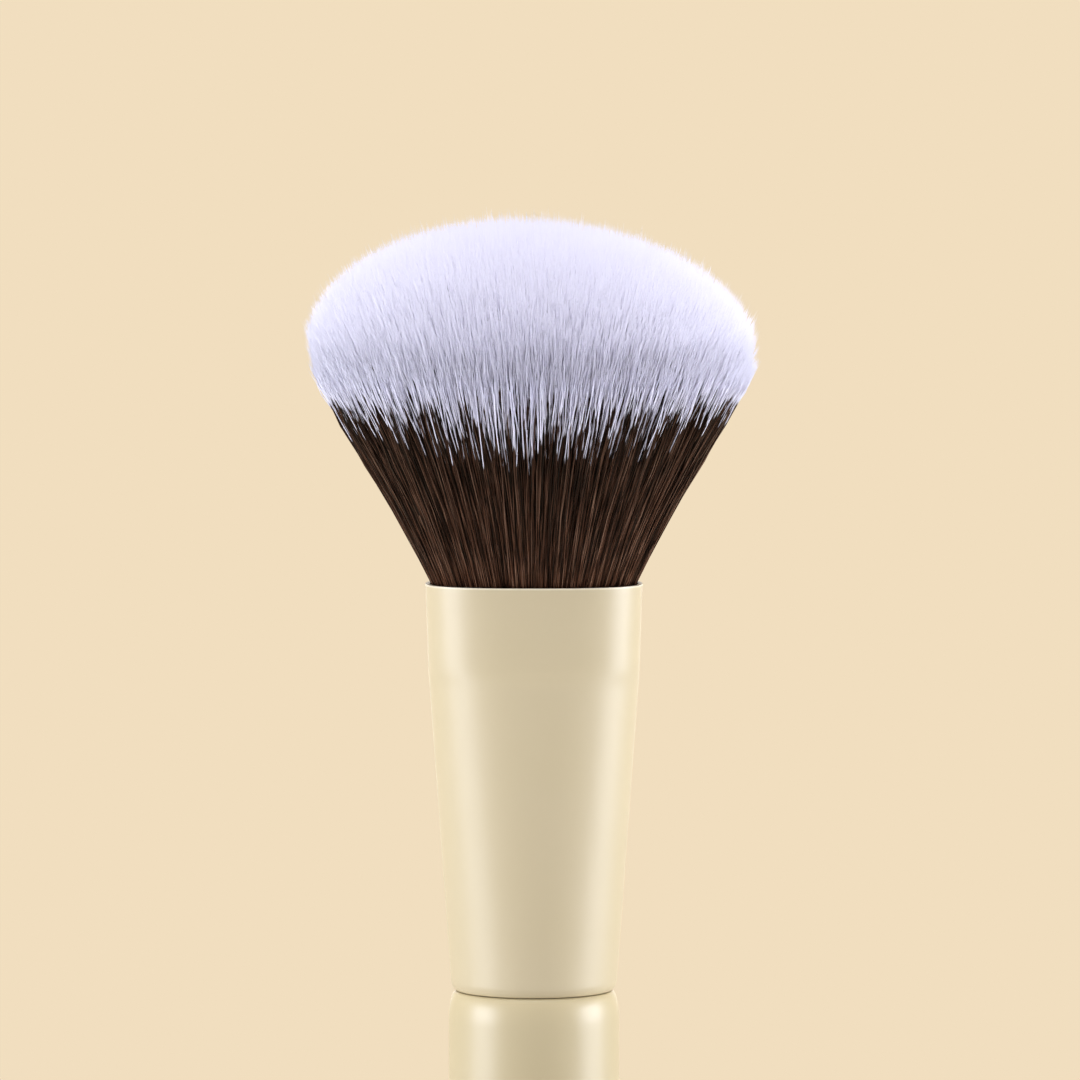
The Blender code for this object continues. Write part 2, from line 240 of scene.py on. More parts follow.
# each soft box's name, place, aim, width, height, watts and colour
SOFT_BOXES = (
    ("soft_box_left", (-0.9, -0.3, 0.1), (0.0, 0.0, 0.13), 0.6, 0.5, 11.0, "#EFF4FF"),
    ("soft_box_right", (0.9, -0.08, 0.1), (0.0, 0.0, 0.13), 0.6, 0.5, 10.9, "#EFF4FF"),
    ("soft_box_behind", (0.0, 1.0, 0.25), (0.0, 0.0, 0.13), 0.9, 0.6, 1.6, "#F2F5FF"),
    ("soft_box_above", (0.0, 0.0, 1.2), (0.0, 0.0, 0.15), 0.9, 0.9, 12.7, "#F7F7FF"),
)


def linear(code):
    """A colour given as an sRGB hex code, as linear red, green and blue with full opacity."""
    shares = [int(code[at : at + 2], 16) / 255 for at in (1, 3, 5)]
    return (*[share / 12.92 if share <= 0.04045 else ((share + 0.055) / 1.055) ** 2.4 for share in shares], 1.0)


def add(tree, kind, *feeds, named=None, stops=(), **settings):
    """Adds a node with its settings, and a ramp's stops as (position, colour) pairs, feeds its inputs in order
    and by name, and returns its outputs."""
    node = tree.nodes.new(kind)
    for name, value in settings.items():
        setattr(node, name, value)
    for at, (position, colour) in enumerate(stops):
        elements = node.color_ramp.elements
        element = elements[at] if at < len(elements) else elements.new(position)
        element.position = position
        element.color = colour
    for key, feed in [*enumerate(feeds), *(named or {}).items()]:
        if isinstance(feed, bpy.types.NodeSocket):
            tree.links.new(feed, node.inputs[key])
        elif feed is not None:
            node.inputs[key].default_value = feed
    return node.outputs


def new_material(name):
    """An empty material, and its node tree."""
    material = bpy.data.materials.new(name)
    material.use_nodes = True
    material.node_tree.nodes.clear()
    return material, material.node_tree


BACKGROUND = linear("#F1DEBF")
FILL = linear("#F2F3FF")
FLOOR_NEAR = linear("#DAC6A4")
# the paper's colour for light it bounces near the brush, dark as a painted shade
FLOOR_BOUNCE_PAINTED_SHADE = linear("#544E46")
FLOOR_BOUNCE_FAR = linear("#F8F6F4")


def make_lacquer():
    """Polyurethane lacquer, sprayed over turned birch. It gives the eye a soft even shine with a faint orange
    peel, and long soft lines where the wood's grain sinks below it."""
    material, tree = new_material("polyurethane_lacquer_on_birch")
    place = add(tree, "ShaderNodeTexCoord")["Object"]
    # grain: birch pores lie about 0.7 mm apart and run along the handle
    grain_at = add(tree, "ShaderNodeMapping", place, named={"Scale": (1.0, 1.0, 0.06)})[0]
    grain = add(tree, "ShaderNodeTexNoise", grain_at, named={"Scale": 1 / (0.7 * MM), "Detail": 2.0})[0]
    peel = add(tree, "ShaderNodeTexNoise", place, named={"Scale": 1 / (1.3 * MM), "Detail": 1.0})[0]
    cloud = add(tree, "ShaderNodeTexNoise", place, named={"Scale": 1 / (14 * MM), "Detail": 2.0})[0]
    colour = add(tree, "ShaderNodeValToRGB", cloud, stops=[(0.3, linear("#CDBD93")), (0.7, linear("#CFBF96"))])[0]
    relief = add(tree, "ShaderNodeMath", grain, GRAIN_SHARE, peel, operation="MULTIPLY_ADD")[0]
    bump = add(tree, "ShaderNodeBump", named={"Height": relief, "Strength": 0.06, "Distance": 0.02 * MM})[0]
    surface = {"Base Color": colour, "Roughness": 0.42, "IOR": 1.5, "Normal": bump}
    coat = {"Coat Weight": 0.35, "Coat Roughness": 0.3}
    shader = add(tree, "ShaderNodeBsdfPrincipled", named={**surface, **coat})[0]
    add(tree, "ShaderNodeOutputMaterial", shader)
    return material


def make_paint():
    """Satin stoving enamel on drawn aluminium. It gives the eye a broad soft sheen and a very fine even tooth. The
    lip of the mouth is painted paler as a thin line: a painted highlight where the rounded edge catches the light,
    where the coat is also thin."""
    material, tree = new_material("satin_enamel_on_aluminium")
    place = add(tree, "ShaderNodeTexCoord")["Object"]
    cloud = add(tree, "ShaderNodeTexNoise", place, named={"Scale": 1 / (9 * MM), "Detail": 3.0})[0]
    cream = add(tree, "ShaderNodeValToRGB", cloud, stops=[(0.3, linear("#D4C49D")), (0.7, linear("#D5C59F"))])[0]
    height = add(tree, "ShaderNodeSeparateXYZ", place)[2]
    # the lip of the mouth is painted paler: a painted highlight where the rounded edge catches the light, where the
    # coat is also thin
    lip = add(tree, "ShaderNodeMapRange", height, MOUTH_HEIGHT - LIP_HIGHLIGHT_BAND, MOUTH_HEIGHT - LIP_HIGHLIGHT_BAND / 2)[0]
    colour = add(tree, "ShaderNodeMix", named={0: lip, 6: cream, 7: linear("#EADFC2")}, data_type="RGBA")[2]
    # tooth of the satin coat, real grit about 0.05 mm, drawn at 0.25 mm so that it shows
    tooth = add(tree, "ShaderNodeTexNoise", place, named={"Scale": 1 / (0.25 * MM), "Detail": 2.0})[0]
    rough = add(tree, "ShaderNodeMapRange", tooth, NOISE_LOW, NOISE_HIGH, *PAINT_ROUGHNESS)[0]
    bump = add(tree, "ShaderNodeBump", named={"Height": tooth, "Strength": 0.05, "Distance": 0.01 * MM})[0]
    surface = {"Base Color": colour, "Roughness": rough, "IOR": 1.5, "Normal": bump}
    coat = {"Coat Weight": 0.2, "Coat Roughness": 0.36}
    shader = add(tree, "ShaderNodeBsdfPrincipled", named={**surface, **coat})[0]
    add(tree, "ShaderNodeOutputMaterial", shader)
    return material


def make_resin():
    """Cast epoxy, poured round the roots and the tenon. It gives the eye amber depth with tiny trapped bubbles."""
    material, tree = new_material("cast_amber_epoxy")
    place = add(tree, "ShaderNodeTexCoord")["Object"]
    bubbles = add(tree, "ShaderNodeTexVoronoi", place, named={"Scale": 1 / (0.8 * MM)})[0]
    colour = add(
        tree,
        "ShaderNodeValToRGB",
        bubbles,
        stops=[(0.1, linear("#D9B878")), (0.3, linear("#B87E34")), (0.9, linear("#8E5A1E"))],
    )[0]
    shader = add(tree, "ShaderNodeBsdfPrincipled", named={"Base Color": colour, "Roughness": 0.25, "IOR": 1.55})[0]
    add(tree, "ShaderNodeOutputMaterial", shader)
    return material


def make_cotton():
    """Waxed cotton thread, laid from three plies. It gives the eye a dull, slightly greasy off-white with fibres
    that run along each ply."""
    material, tree = new_material("waxed_cotton")
    place = add(tree, "ShaderNodeTexCoord")["Object"]
    fibres = add(tree, "ShaderNodeTexNoise", place, named={"Scale": 1 / (0.12 * MM), "Detail": 3.0})[0]
    colour = add(tree, "ShaderNodeValToRGB", fibres, stops=[(0.3, linear("#B9AE96")), (0.7, linear("#DDD5C0"))])[0]
    bump = add(tree, "ShaderNodeBump", named={"Height": fibres, "Strength": 0.4, "Distance": 0.03 * MM})[0]
    shader = add(
        tree, "ShaderNodeBsdfPrincipled", named={"Base Color": colour, "Roughness": 0.8, "Normal": bump}
    )[0]
    add(tree, "ShaderNodeOutputMaterial", shader)
    return material


def make_filament_dye():
    """PBT filament, drawn, dyed dark brown and at its tip white. It gives the eye a soft plastic gleam on the
    brown and a milky white with a hint of violet, changing within half a millimetre at the dye line."""
    material, tree = new_material("dyed_pbt_filament")
    across, along = add(tree, "ShaderNodeSeparateXYZ", add(tree, "ShaderNodeUVMap", uv_map="OFBake")[0])[:2]
    column = add(tree, "ShaderNodeMath", across, TINT_COLUMNS, operation="MULTIPLY")[0]
    column = add(tree, "ShaderNodeMath", column, operation="FLOOR")[0]
    tint = add(tree, "ShaderNodeTexWhiteNoise", named={"W": column}, noise_dimensions="1D")[0]
    # the brown is painted lighter and darker in patches along each filament: painted glints, and painted shade
    # where filaments weave in and out
    glint_patch = add(tree, "ShaderNodeMath", along, DYE_MAP_LENGTH / PAINTED_GLINT_PATCH_LENGTH, operation="MULTIPLY")[0]
    glint_patch = add(tree, "ShaderNodeCombineXYZ", column, glint_patch, 0.0)[0]
    glint_patch = add(tree, "ShaderNodeTexNoise", glint_patch, named={"Scale": 1.0, "Detail": 1.0}, noise_dimensions="2D")[0]
    glint_patch = add(
        tree, "ShaderNodeMapRange", glint_patch, NOISE_LOW, NOISE_HIGH, -PAINTED_GLINT_PATCH_SHIFT, PAINTED_GLINT_PATCH_SHIFT
    )[0]
    glint_patch = add(tree, "ShaderNodeMath", tint, glint_patch, operation="ADD", use_clamp=True)[0]
    brown = add(
        tree,
        "ShaderNodeValToRGB",
        glint_patch,
        stops=[
            (0.0, linear("#170B05")),
            (0.35, linear("#3A2216")),
            (0.7, linear("#704B36")),
            (1.0, linear("#906C55")),
        ],
    )[0]
    # the brown is painted darker towards the dye line, a painted shade under the overhanging white
    painted_shade_from = DYE_LINE_AT - PAINTED_SHADE_LENGTH / DYE_MAP_LENGTH
    depth = add(tree, "ShaderNodeMapRange", along, painted_shade_from, DYE_LINE_AT, 1.0, PAINTED_SHADE_SHARE)[0]
    brown = add(tree, "ShaderNodeVectorMath", brown, named={3: depth}, operation="SCALE")[0]
    # the white is painted brightest next to the dye line and dimmer towards the tip: painted light on the lower
    # white, which lies in shade under the head's overhang, and painted shade on the crown, which the lamp above
    # lights most. Each filament's white also has its own random tone
    shade = add(tree, "ShaderNodeMapRange", tint, 0.0, 1.0, DULLEST_WHITE, 1.0)[0]
    painted_light = add(tree, "ShaderNodeMapRange", along, DYE_LINE_AT, DYE_LINE_AT + PAINTED_LIGHT_LENGTH / DYE_MAP_LENGTH)[0]
    white = add(
        tree,
        "ShaderNodeValToRGB",
        painted_light,
        stops=[(0.0, linear("#F8F5FF")), (0.5, linear("#F3F1FF")), (1.0, linear("#EEECFC"))],
    )[0]
    white = add(tree, "ShaderNodeVectorMath", white, named={3: shade}, operation="SCALE")[0]
    dyed = add(tree, "ShaderNodeMapRange", along, DYE_LINE_AT, DYE_LINE_AT + DYE_BLEED / DYE_MAP_LENGTH)[0]
    colour = add(tree, "ShaderNodeMix", named={0: dyed, 6: brown, 7: white}, data_type="RGBA")[2]
    gleam = add(tree, "ShaderNodeMapRange", dyed, 0.0, 1.0, BROWN_GLEAM, WHITE_GLEAM)[0]
    shader = add(
        tree,
        "ShaderNodeBsdfPrincipled",
        named={"Base Color": colour, "Roughness": 0.34, "IOR": 1.5, "Specular IOR Level": gleam},
    )[0]
    add(tree, "ShaderNodeOutputMaterial", shader)
    return material


def make_root_bed():
    """Filament roots soaked with epoxy and cut level. It gives the eye a dark, close speckle of cut ends."""
    material, tree = new_material("epoxy_soaked_roots")
    place = add(tree, "ShaderNodeTexCoord")["Object"]
    ends = add(tree, "ShaderNodeTexVoronoi", place, named={"Scale": 1 / (0.16 * MM)})[0]
    colour = add(tree, "ShaderNodeValToRGB", ends, stops=[(0.2, linear("#2A1A12")), (0.7, linear("#120A06"))])[0]
    shader = add(tree, "ShaderNodeBsdfPrincipled", named={"Base Color": colour, "Roughness": 0.5})[0]
    add(tree, "ShaderNodeOutputMaterial", shader)
    return material


def new_object(name, data):
    """An object of the scene with the given mesh, lamp or camera."""
    obj = bpy.data.objects.new(name, data)
    bpy.context.scene.collection.objects.link(obj)
    return obj


def baked(obj, name):
    """A plain mesh of what an object's modifiers make, as a new object that takes its place."""
    bpy.context.view_layer.update()
    graph = bpy.context.evaluated_depsgraph_get()
    mesh = bpy.data.meshes.new_from_object(obj.evaluated_get(graph))
    bpy.data.objects.remove(obj)
    mesh.name = name
    return new_object(name, mesh)


def new_tree(name, inputs):
    """A geometry node tree with named inputs, and the sockets that give them. An input's kind follows its value."""
    tree = bpy.data.node_groups.new(name, "GeometryNodeTree")
    kinds = {int: "NodeSocketInt", float: "NodeSocketFloat", bpy.types.Material: "NodeSocketMaterial"}
    for label, value in inputs.items():
        tree.interface.new_socket(name=label, in_out="INPUT", socket_type=kinds[type(value)])
    tree.interface.new_socket(name="Geometry", in_out="OUTPUT", socket_type="NodeSocketGeometry")
    return tree, add(tree, "NodeGroupInput")


def grown(name, tree, inputs):
    """The plain mesh that a geometry node tree makes from its inputs."""
    obj = new_object(name, bpy.data.meshes.new(name))
    modifier = obj.modifiers.new(name, "NODES")
    modifier.node_group = tree
    sockets = {item.name: item.identifier for item in tree.interface.items_tree if item.in_out == "INPUT"}
    for label, value in inputs.items():
        modifier[sockets[label]] = value
    return baked(obj, name)


def oval_swell(tree, across, deep, power):
    """How far a squared oval reaches in the direction (across, deep), where a circle reaches 1. A power of 2 gives
    the circle."""
    sizes = []
    for part in (across, deep):
        size = add(tree, "ShaderNodeMath", part, operation="ABSOLUTE")[0]
        sizes.append(add(tree, "ShaderNodeMath", size, power, operation="POWER")[0])
    total = add(tree, "ShaderNodeMath", *sizes, operation="ADD")[0]
    root = add(tree, "ShaderNodeMath", -1.0, power, operation="DIVIDE")[0]
    return add(tree, "ShaderNodeMath", total, root, operation="POWER")[0]


def ferrule_tree(inputs):
    """A sheet wrapped into the ferrule's outer face: round at its foot, oval and flatter in front at its mouth."""
    tree, given = new_tree("ferrule_skin", inputs)
    columns = add(tree, "ShaderNodeMath", given["Segments Around"], 1, operation="ADD")[0]
    sheet = add(tree, "GeometryNodeMeshGrid", 1.0, 1.0, columns, given["Levels"])[0]
    at = add(tree, "ShaderNodeSeparateXYZ", add(tree, "GeometryNodeInputPosition")[0])
    turn = add(tree, "ShaderNodeMath", at[0], math.tau, operation="MULTIPLY")[0]
    climb = add(tree, "ShaderNodeMath", at[1], 0.5, operation="ADD")[0]
    climb = add(tree, "ShaderNodeMath", climb, given["Level Crowding"], operation="POWER")[0]
    height = add(tree, "ShaderNodeMath", climb, given["Length"], operation="MULTIPLY")[0]

    # half width: a straight cone up to the pressed zone, nearly upright above it
    widths = []
    for low, high, low_width, high_width in (
        (0.0, given["Press Start"], given["Foot Radius"], given["Shoulder Half Width"]),
        (given["Press Start"], given["Length"], given["Shoulder Half Width"], given["Mouth Half Width"]),
    ):
        widths.append(add(tree, "ShaderNodeMapRange", height, low, high, low_width, high_width, clamp=False)[0])
    width = add(tree, "ShaderNodeMath", *widths, operation="MINIMUM")[0]

    # half depth: the cone's, less the step that the press leaves
    half_blend = add(tree, "ShaderNodeMath", given["Press Blend"], 0.5, operation="MULTIPLY")[0]
    press_low = add(tree, "ShaderNodeMath", given["Press Start"], half_blend, operation="SUBTRACT")[0]
    press_high = add(tree, "ShaderNodeMath", given["Press Start"], half_blend, operation="ADD")[0]
    pressed = add(
        tree, "ShaderNodeMapRange", height, press_low, press_high, 0.0, 1.0, interpolation_type="SMOOTHSTEP"
    )[0]
    unpressed = add(tree, "ShaderNodeMath", given["Mouth Half Depth"], given["Press Step"], operation="ADD")[0]
    depth = add(tree, "ShaderNodeMapRange", height, 0.0, given["Press Start"], given["Foot Radius"], unpressed)[0]
    step = add(tree, "ShaderNodeMath", pressed, given["Press Step"], operation="MULTIPLY")[0]
    depth = add(tree, "ShaderNodeMath", depth, step, operation="SUBTRACT")[0]

    # squareness of the section, from 2 for a circle at the foot
    flattened = add(tree, "ShaderNodeMapRange", pressed, 0.0, 1.0, given["Cone Squareness Share"], 1.0)[0]
    eased = add(
        tree, "ShaderNodeMapRange", height, 0.0, given["Length"], 0.0, 1.0, interpolation_type="SMOOTHSTEP"
    )[0]
    share = add(tree, "ShaderNodeMath", flattened, eased, operation="MULTIPLY")[0]
    power = add(tree, "ShaderNodeMapRange", share, 0.0, 1.0, 2.0, given["Mouth Squareness"])[0]
    across, deep = (add(tree, "ShaderNodeMath", turn, operation=side)[0] for side in ("COSINE", "SINE"))
    swell = oval_swell(tree, across, deep, power)

    # rolled lower edge: a quarter of an ellipse
    drop = add(tree, "ShaderNodeMapRange", height, 0.0, given["Roll Height"], 1.0, 0.0)[0]
    drop = add(tree, "ShaderNodeMath", drop, drop, operation="MULTIPLY")[0]
    drop = add(tree, "ShaderNodeMath", 1.0, drop, operation="SUBTRACT")[0]
    drop = add(tree, "ShaderNodeMath", drop, operation="SQRT")[0]
    inset = add(tree, "ShaderNodeMapRange", drop, 0.0, 1.0, given["Roll Inset"], 0.0)[0]

    places = []
    for half, share in ((width, across), (depth, deep)):
        half = add(tree, "ShaderNodeMath", half, inset, operation="SUBTRACT")[0]
        half = add(tree, "ShaderNodeMath", half, share, operation="MULTIPLY")[0]
        places.append(add(tree, "ShaderNodeMath", half, swell, operation="MULTIPLY")[0])
    level = add(tree, "ShaderNodeMath", height, given["Foot Height"], operation="ADD")[0]
    position = add(tree, "ShaderNodeCombineXYZ", *places, level)[0]
    wrapped = add(tree, "GeometryNodeSetPosition", sheet, None, position)[0]
    closed = add(tree, "GeometryNodeMergeByDistance", wrapped, None, FERRULE_SEAM)[0]
    smooth = add(tree, "GeometryNodeSetShadeSmooth", closed)[0]
    whole = add(tree, "GeometryNodeRealizeInstances", smooth)[0]
    add(tree, "NodeGroupOutput", add(tree, "GeometryNodeSetMaterial", whole, None, given["Paint"])[0])
    return tree


def turn_faces_out(mesh):
    """Turns a closed mesh's faces outwards."""
    shell = bmesh.new()
    shell.from_mesh(mesh)
    bmesh.ops.recalc_face_normals(shell, faces=shell.faces)
    shell.to_mesh(mesh)
    shell.free()


def make_ferrule(paint):
    """The ferrule's outer face, given its wall and a rounded lip."""
    inputs = {**FERRULE, "Paint": paint}
    skin = grown("ferrule_skin", ferrule_tree(inputs), inputs)
    wall = skin.modifiers.new("wall", "SOLIDIFY")
    wall.thickness = FERRULE_WALL
    wall.offset = -1.0
    wall.use_even_offset = True
    rim = skin.modifiers.new("rim", "BEVEL")
    rim.width = FERRULE_RIM_ROUND
    rim.segments = FERRULE_RIM_STEPS
    rim.limit_method = "ANGLE"
    rim.angle_limit = FERRULE_RIM_ANGLE
    tube = baked(skin, "ferrule_tube")
    turn_faces_out(tube.data)
    return tube


def mix(low, high, share):
    """The value a share of the way from low to high."""
    return low + (high - low) * share


def ease(share):
    """A smooth step from 0 to 1."""
    return share * share * (3 - 2 * share)


def quarter_arc(start, end, bulge_first):
    """Points after start, to end, along a quarter of an ellipse in (radius, height)."""
    points = []
    for step in range(1, ARC_STEPS + 1):
        angle = math.pi / 2 * step / ARC_STEPS
        early, late = math.sin(angle), 1 - math.cos(angle)
        outward, downward = (early, late) if bulge_first else (late, early)
        points.append((mix(start[0], end[0], outward), mix(start[1], end[1], downward)))
    return points


def handle_outline():
    """The handle's outline as (radius, height) points, from the top of its tenon down to its end."""
    tenon_top = HANDLE_LENGTH + TENON_LENGTH
    outline = [(0.0, tenon_top), (TENON_RADIUS - TENON_CHAMFER, tenon_top)]
    outline.append((TENON_RADIUS, tenon_top - TENON_CHAMFER))
    floor = TENON_RADIUS - GROOVE_DEPTH
    half = GROOVE_WIDTH / 2
    flank = half * GROOVE_FLANK_SHARE
    for groove in reversed(range(GROOVE_COUNT)):
        middle = HANDLE_LENGTH + SEAT_GAP + (TENON_LENGTH - SEAT_GAP) * (groove + 1) / (GROOVE_COUNT + 1)
        outline += [(TENON_RADIUS, middle + half), (floor, middle + half - flank)]
        outline += [(floor, middle - half + flank), (TENON_RADIUS, middle - half)]
    ledge = (WAIST_RADIUS - SHOULDER_INSET, FERRULE_FOOT - JOINT_GAP)
    waist_top = HANDLE_LENGTH - SHOULDER_HEIGHT
    outline += [(TENON_RADIUS, ledge[1]), ledge]
    outline += quarter_arc(ledge, (WAIST_RADIUS, waist_top), bulge_first=True)
    taper_top = waist_top - WAIST_LENGTH
    for step in range(TAPER_STEPS + 1):
        share = step / TAPER_STEPS
        outline.append((mix(WAIST_RADIUS, END_RADIUS, ease(share)), mix(taper_top, BUTT_HEIGHT, share)))
    outline += quarter_arc((END_RADIUS, BUTT_HEIGHT), (BUTT_FLAT_RADIUS, 0.0), bulge_first=False)
    outline.append((0.0, 0.0))
    return outline


def make_handle(lacquer):
    """The handle, its outline turned round its axis."""
    outline = handle_outline()
    mesh = bpy.data.meshes.new("handle_outline")
    edges = [(index, index + 1) for index in range(len(outline) - 1)]
    mesh.from_pydata([(radius, 0.0, z) for radius, z in outline], edges, [])
    turned = new_object("handle_outline", mesh)
    screw = turned.modifiers.new("turning", "SCREW")
    screw.axis = "Z"
    screw.steps = screw.render_steps = TURNING_STEPS
    screw.use_merge_vertices = True
    screw.merge_threshold = HANDLE_SEAM
    handle = baked(turned, "handle_turned")
    handle.data.materials.append(lacquer)
    turn_faces_out(handle.data)
    handle.data.shade_smooth()
    handle.data.set_sharp_from_angle(angle=HANDLE_SHARP_ANGLE)
    return handle


def filament_tree(inputs):
    """A bundle of filaments. Each is a pointed three-sided tube that runs from its root in the ferrule to its
    place on the crown, leans towards the middle of its lock, and carries its dye in the map OFBake: a column of
    tint across, and the distance past its dye line along."""
    tree, given = new_tree("filament_bundle", inputs)
    number = add(tree, "GeometryNodeInputIndex")[0]
    number = add(tree, "ShaderNodeMath", number, given["First"], operation="ADD")[0]
    points = add(tree, "GeometryNodePoints", given["Count"])[0]
    points = add(
        tree, "GeometryNodeStoreNamedAttribute", points, None, "filament", number, data_type="INT", domain="POINT"
    )[0]
    spike = add(
        tree, "GeometryNodeMeshCone", FILAMENT_SIDES, FILAMENT_LENGTHS, 1, 0.0, 1.0, 1.0, fill_type="NGON"
    )[0]
    spikes = add(tree, "GeometryNodeInstanceOnPoints", points, None, spike)[0]
    spikes = add(tree, "GeometryNodeRealizeInstances", spikes)[0]
    number = add(tree, "GeometryNodeInputNamedAttribute", "filament", data_type="INT")[0]
    at = add(tree, "GeometryNodeInputPosition")[0]
    rise = add(tree, "ShaderNodeSeparateXYZ", at)[2]
    outward = add(tree, "ShaderNodeVectorMath", at, (1.0, 1.0, 0.0), operation="MULTIPLY")[0]
    outward = add(tree, "ShaderNodeVectorMath", outward, operation="NORMALIZE")[0]

    # the filament's place in the round bundle: evenly spread, then shaken by about its neighbours' distance
    share = add(tree, "ShaderNodeMath", number, 0.5, operation="ADD")[0]
    share = add(tree, "ShaderNodeMath", share, given["Total"], operation="DIVIDE")[0]
    share = add(tree, "ShaderNodeMath", share, operation="SQRT")[0]
    turn = add(tree, "ShaderNodeMath", number, GOLDEN_ANGLE, operation="MULTIPLY")[0]
    sides = (add(tree, "ShaderNodeMath", turn, operation=side)[0] for side in ("COSINE", "SINE"))
    disc = add(tree, "ShaderNodeCombineXYZ", *sides, 0.0)[0]
    disc = add(tree, "ShaderNodeVectorMath", disc, named={3: share}, operation="SCALE")[0]
    drawn = {}
    for shift, (draw, low, high) in enumerate(RANDOM_DRAWS):
        chance = {7: number, 8: add(tree, "ShaderNodeMath", given["Seed"], shift, operation="ADD")[0]}
        if isinstance(low, tuple):
            values = add(tree, "FunctionNodeRandomValue", low, high, named=chance, data_type="FLOAT_VECTOR")
            drawn[draw] = values[0]
        else:
            drawn[draw] = add(tree, "FunctionNodeRandomValue", named={2: low, 3: high, **chance})[1]
    shares, ways = [], []
    for draw, reach in (("root", given["Root Shake"]), ("crossing", given["Crossing"])):
        shake = add(tree, "ShaderNodeVectorMath", drawn[draw], named={3: reach}, operation="SCALE")[0]
        shaken = add(tree, "ShaderNodeVectorMath", disc, shake, operation="ADD")[0]
        share = add(tree, "ShaderNodeVectorMath", shaken, operation="LENGTH")[1]
        shares.append(add(tree, "ShaderNodeMath", share, 1.0, operation="MINIMUM")[0])
        ways.append(add(tree, "ShaderNodeVectorMath", shaken, operation="NORMALIZE")[0])
    share, way = shares[0], ways[0]
    way_x, way_y = add(tree, "ShaderNodeSeparateXYZ", way)[:2]

    # root in the ferrule's oval mouth
    swell = oval_swell(tree, way_x, way_y, given["Mouth Squareness"])
    swell = add(tree, "ShaderNodeMath", swell, share, operation="MULTIPLY")[0]
    oval = add(tree, "ShaderNodeCombineXYZ", given["Mouth Half Width"], given["Mouth Half Depth"], 0.0)[0]
    root = add(tree, "ShaderNodeVectorMath", way, oval, operation="MULTIPLY")[0]
    root = add(tree, "ShaderNodeVectorMath", root, named={3: swell}, operation="SCALE")[0]

    # tip on the crown, half an ellipsoid that leans towards -X, nearly even over its skin
    share, way = shares[1], ways[1]
    rounder = add(tree, "ShaderNodeMath", share, share, operation="MULTIPLY")[0]
    rounder = add(tree, "ShaderNodeMath", 2.0, rounder, operation="SUBTRACT")[0]
    rounder = add(tree, "ShaderNodeMath", rounder, operation="SQRT")[0]
    rounder = add(tree, "ShaderNodeMath", rounder, share, operation="MULTIPLY")[0]
    spread = add(tree, "ShaderNodeMix", given["Crown Evenness"], named={2: share, 3: rounder})[0]
    dome = add(tree, "ShaderNodeMath", spread, spread, operation="MULTIPLY")[0]
    dome = add(tree, "ShaderNodeMath", 1.0, dome, operation="SUBTRACT")[0]
    dome = add(tree, "ShaderNodeMath", dome, 0.0, operation="MAXIMUM")[0]
    dome = add(tree, "ShaderNodeMath", dome, operation="SQRT")[0]
    crown = add(tree, "ShaderNodeCombineXYZ", given["Crown Lean"], 0.0, given["Crown Rise"])[0]
    crown = add(tree, "ShaderNodeVectorMath", crown, named={3: dome}, operation="SCALE")[0]
    ring = add(tree, "ShaderNodeCombineXYZ", given["Head Half Width"], given["Head Half Depth"], 0.0)[0]
    flat = add(tree, "ShaderNodeVectorMath", way, ring, operation="MULTIPLY")[0]
    flat = add(tree, "ShaderNodeVectorMath", flat, named={3: spread}, operation="SCALE")[0]
    tilt = add(tree, "ShaderNodeSeparateXYZ", flat)[0]
    tilt = add(tree, "ShaderNodeMath", tilt, given["Ring Tilt"], given["Ring Height"], operation="MULTIPLY_ADD")[0]
    lift = add(tree, "ShaderNodeCombineXYZ", 0.0, 0.0, tilt)[0]
    tip = add(tree, "ShaderNodeVectorMath", flat, crown, operation="ADD")[0]
    tip = add(tree, "ShaderNodeVectorMath", tip, lift, operation="ADD")[0]

    # each tip misses its place a little, and a few reach past the rest
    miss = {0: drawn["tip"], 3: given["Sideways Scatter"]}
    miss = add(tree, "ShaderNodeVectorMath", named=miss, operation="SCALE")[0]
    tip = add(tree, "ShaderNodeVectorMath", tip, miss, operation="ADD")[0]
    reach = add(tree, "ShaderNodeVectorMath", tip, root, operation="SUBTRACT")[0]
    length = add(tree, "ShaderNodeVectorMath", reach, operation="LENGTH")[1]
    trim = add(tree, "ShaderNodeMath", drawn["trim"], given["Length Scatter"], operation="MULTIPLY")[0]
    stray = add(tree, "ShaderNodeMath", drawn["stray"], given["Stray Rarity"], operation="POWER")[0]
    trim = add(tree, "ShaderNodeMath", stray, given["Stray Length"], trim, operation="MULTIPLY_ADD")[0]
    # the outermost are shorter, which rounds the head's rim
    rim = (given["Rim Start"], 1.0, 0.0, given["Rim Round"])
    rim = add(tree, "ShaderNodeMapRange", shares[1], *rim, interpolation_type="SMOOTHERSTEP")[0]
    trim = add(tree, "ShaderNodeMath", trim, rim, operation="SUBTRACT")[0]
    full = add(tree, "ShaderNodeMath", length, trim, operation="ADD")[0]
    grow = add(tree, "ShaderNodeMath", full, length, operation="DIVIDE")[0]
    reach = add(tree, "ShaderNodeVectorMath", reach, named={3: grow}, operation="SCALE")[0]

    # share of the way from the mouth to the tip, below 0 inside the ferrule; the rings crowd towards the tip
    left = add(tree, "ShaderNodeMath", 1.0, rise, operation="SUBTRACT")[0]
    left = add(tree, "ShaderNodeMath", left, given["Ring Crowding"], operation="POWER")[0]
    buried = add(tree, "ShaderNodeMath", given["Root Depth"], full, operation="DIVIDE")[0]
    span = add(tree, "ShaderNodeMath", buried, 1.0, operation="ADD")[0]
    along = add(tree, "ShaderNodeMath", left, span, operation="MULTIPLY")[0]
    along = add(tree, "ShaderNodeMath", 1.0, along, operation="SUBTRACT")[0]

